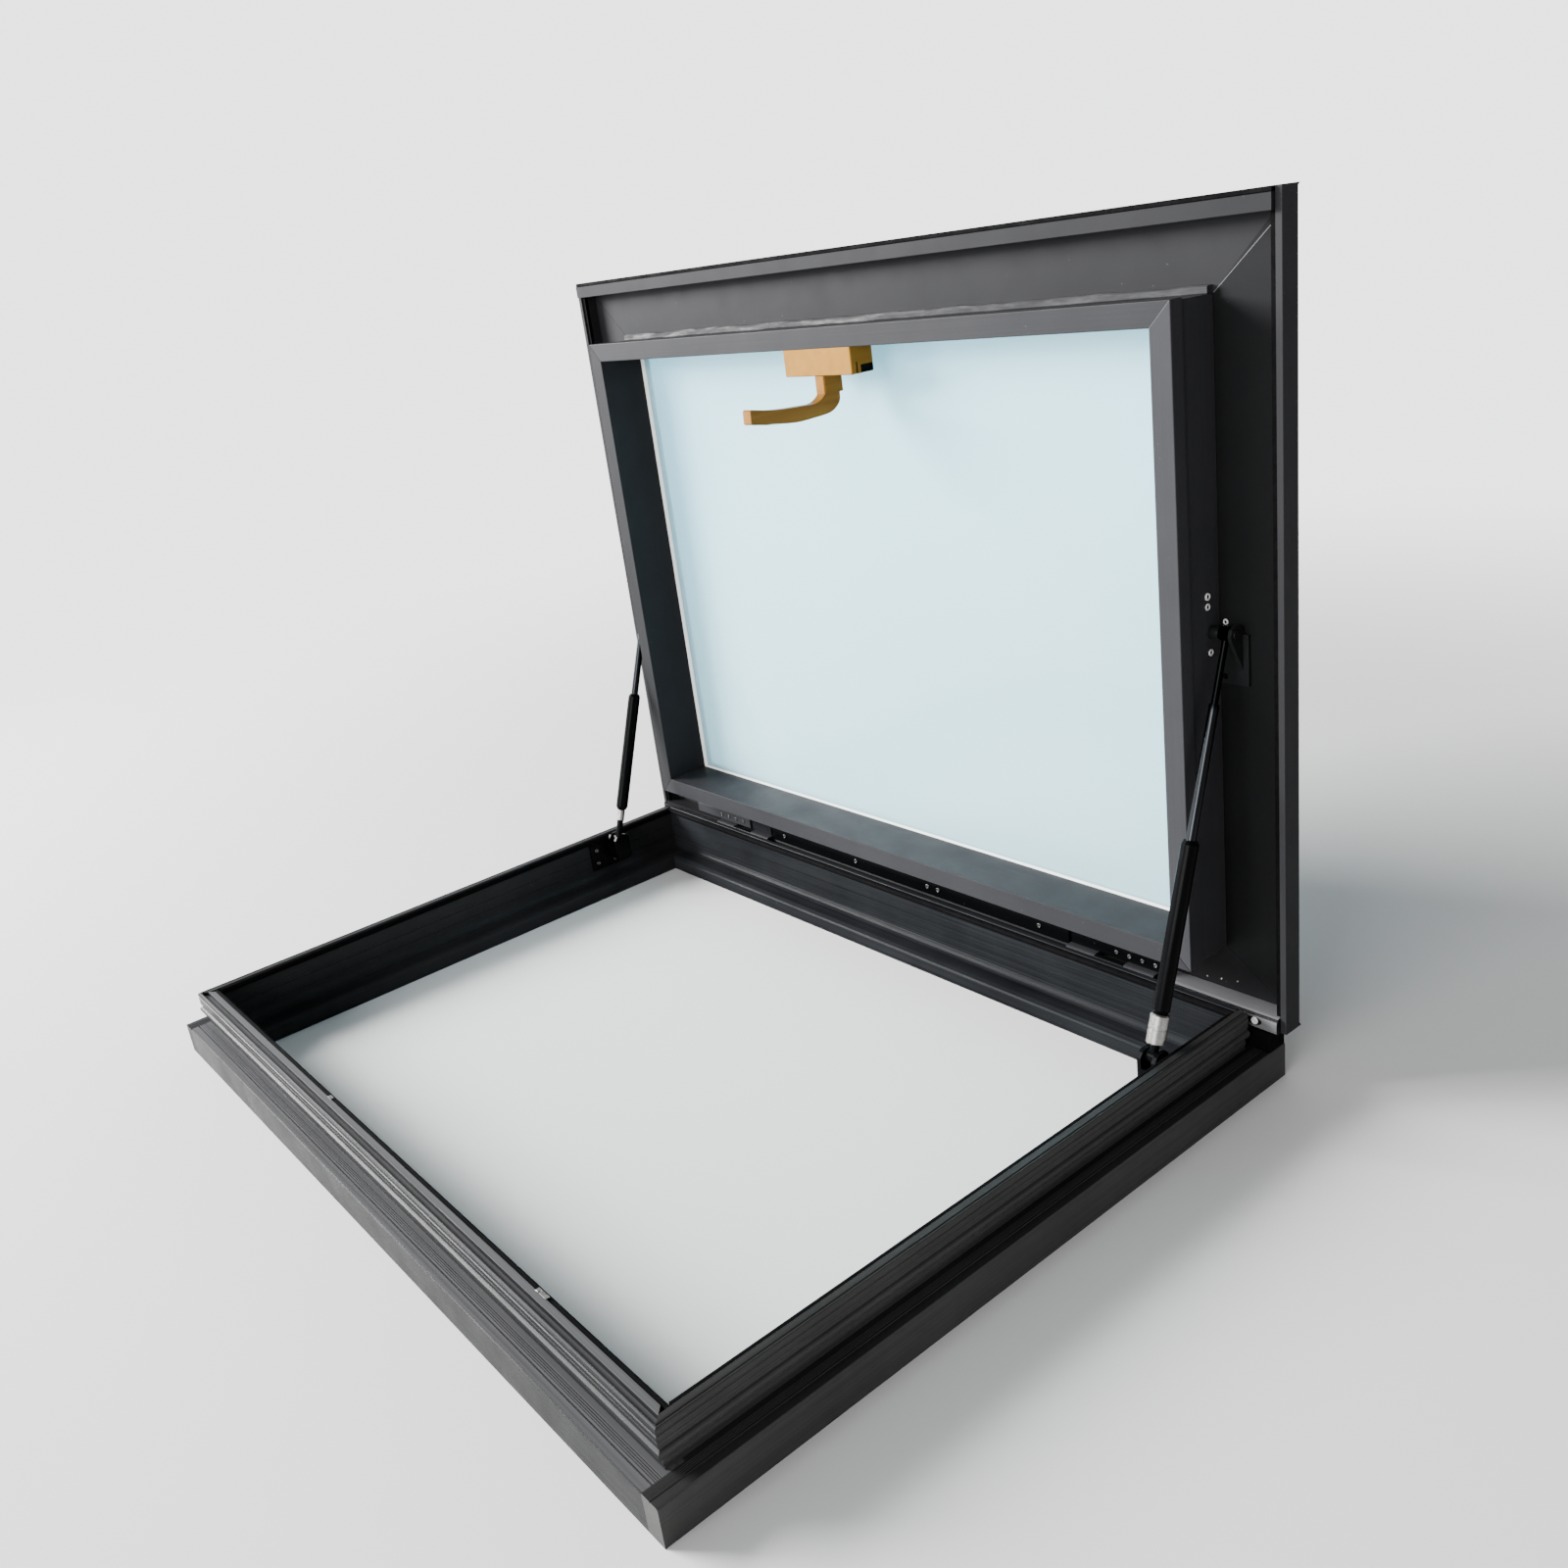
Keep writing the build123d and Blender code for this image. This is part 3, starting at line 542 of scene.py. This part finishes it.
for k in range(234):
    x = -349.0 + k * 698.0 / 233
    h = 4.0 + 0.35 * math.sin(k * 0.21) * math.sin(k * 0.047 + 0.6) + 0.22 * math.sin(k * 0.53)
    rows.append([bm.verts.new(P(x, y, z)) for y, z in
                 ((296.25, 578.6), (290.6, 578.6), (290.2, 579.2), (290.3, 580.0 + h * 0.75), (291.2, 580.0 + h * 0.96),
                  (293.6, 580.0 + h), (296.25, 580.0 + h))])
for p, q in zip(rows, rows[1:]):
    for i in range(7):
        j = (i + 1) % 7
        bm.faces.new((p[i], p[j], q[j], q[i]))
bm.faces.new(rows[0])
bm.faces.new(rows[-1][::-1])
piece("inner_frame_top_strip", bm, m)

# black blocks filling the notch and slot at the end of the handle case: painted shade of the recess
bm = bmesh.new()
add_prism(bm, [(35.1, y, z) for y, z in ((258.3, 541.3), (271.6, 541.3), (272.3, 542.0), (272.3, 547.7), (258.3, 547.7))], (5.9, 0, 0))
add_prism(bm, [(35.1, y, z) for y, z in ((253.3, 541.3), (255.1, 541.3), (255.1, 550.3), (253.3, 550.3))], (5.6, 0, 0))
piece("handle_notch_painted_shade", bm, M["black_rubber"])


# ------------------------------------------------------------------ stage
def stage_mat(name, colour, rough):
    m, nt, b = new_mat(name)
    b.inputs["Base Color"].default_value = (*colour, 1)
    b.inputs["Roughness"].default_value = rough
    return m


bm = bmesh.new()
bmesh.ops.create_circle(bm, cap_ends=True, segments=96, radius=4.0)
me = bpy.data.meshes.new("floor")
bm.to_mesh(me)
bm.free()
floor = bpy.data.objects.new("floor", me)
bpy.context.scene.collection.objects.link(floor)
fm, nt, b = new_mat("floor_paint")
b.inputs["Base Color"].default_value = (0.60, 0.60, 0.595, 1)
b.inputs["Roughness"].default_value = 0.8
b.inputs["Specular IOR Level"].default_value = 0.1
# the sheet of floor fades out with distance from the part
tc = nt.nodes.new("ShaderNodeTexCoord")
ln = nt.nodes.new("ShaderNodeVectorMath")
ln.operation = "LENGTH"
link(nt, tc.outputs["Object"], ln.inputs[0])
fade = nt.nodes.new("ShaderNodeMapRange")
fade.interpolation_type = "SMOOTHSTEP"
for k, val in (("From Min", 0.9), ("From Max", 2.6), ("To Min", 1.0), ("To Max", 0.0)):
    fade.inputs[k].default_value = val
link(nt, ln.outputs["Value"], fade.inputs["Value"])
link(nt, fade.outputs["Result"], b.inputs["Alpha"])
me.materials.append(fm)

world = bpy.data.worlds.new("studio")
bpy.context.scene.world = world
world.use_nodes = True
wt = world.node_tree
bg = wt.nodes["Background"]
wtc = wt.nodes.new("ShaderNodeTexCoord")
wsp = wt.nodes.new("ShaderNodeSeparateXYZ")
wt.links.new(wtc.outputs["Generated"], wsp.inputs["Vector"])


def world_range(src, f0, f1, t0, t1):
    mr = wt.nodes.new("ShaderNodeMapRange")
    mr.interpolation_type = "SMOOTHSTEP"
    for k, val in (("From Min", f0), ("From Max", f1), ("To Min", t0), ("To Max", t1)):
        mr.inputs[k].default_value = val
    wt.links.new(src, mr.inputs["Value"])
    return mr.outputs["Result"]


side_l = world_range(wsp.outputs["X"], -0.35, 0.25, 1.0, 0.21)
rise = world_range(wsp.outputs["Z"], 0.20, 0.55, 3.0, 0.6)
mul = wt.nodes.new("ShaderNodeMath")
mul.operation = "MULTIPLY"
wt.links.new(side_l, mul.inputs[0])
wt.links.new(rise, mul.inputs[1])
wt.links.new(mul.outputs[0], bg.inputs["Strength"])
bg.inputs["Color"].default_value = (0.98, 0.99, 1.0, 1)


def softbox(name, at, aim, wide, high, power, colour=(1, 1, 1)):
    d = bpy.data.lights.new(name, "AREA")
    d.shape = "RECTANGLE"
    d.size, d.size_y = wide, high
    d.energy = power
    d.color = colour
    o = bpy.data.objects.new(name, d)
    bpy.context.scene.collection.objects.link(o)
    o.location = at
    o.rotation_euler = (Vector(aim) - Vector(at)).to_track_quat("-Z", "Y").to_euler()
    return o


softbox("key", (-3.9, -2.6, 2.25), (0.0, 0.0, 0.25), 2.6, 2.0, 1560)
softbox("fill", (1.0, -4.5, 1.6), (0.0, 0.1, 0.3), 3.0, 2.0, 300)

# ------------------------------------------------------------------ camera
az, el, roll = math.radians(53.1986), math.radians(20.3405), math.radians(-7.8951)
back = Vector((math.sin(az) * math.cos(el), -math.cos(az) * math.cos(el), math.sin(el)))
right = (-back).cross(Vector((0, 0, 1))).normalized()
up = right.cross(-back)
r2 = math.cos(roll) * right + math.sin(roll) * up
u2 = -math.sin(roll) * right + math.cos(roll) * up
cam_d = bpy.data.cameras.new("camera")
cam = bpy.data.objects.new("camera", cam_d)
bpy.context.scene.collection.objects.link(cam)
rot = Matrix((r2, u2, back)).transposed()
cam.matrix_world = Matrix.Translation(P(926.82, -539.92, 635.89)) @ rot.to_4x4()
cam_d.sensor_width = 36.0
cam_d.lens = 36.0 * 1432.667 / 1600.0
cam_d.clip_start, cam_d.clip_end = 0.02, 200.0
bpy.context.scene.camera = cam
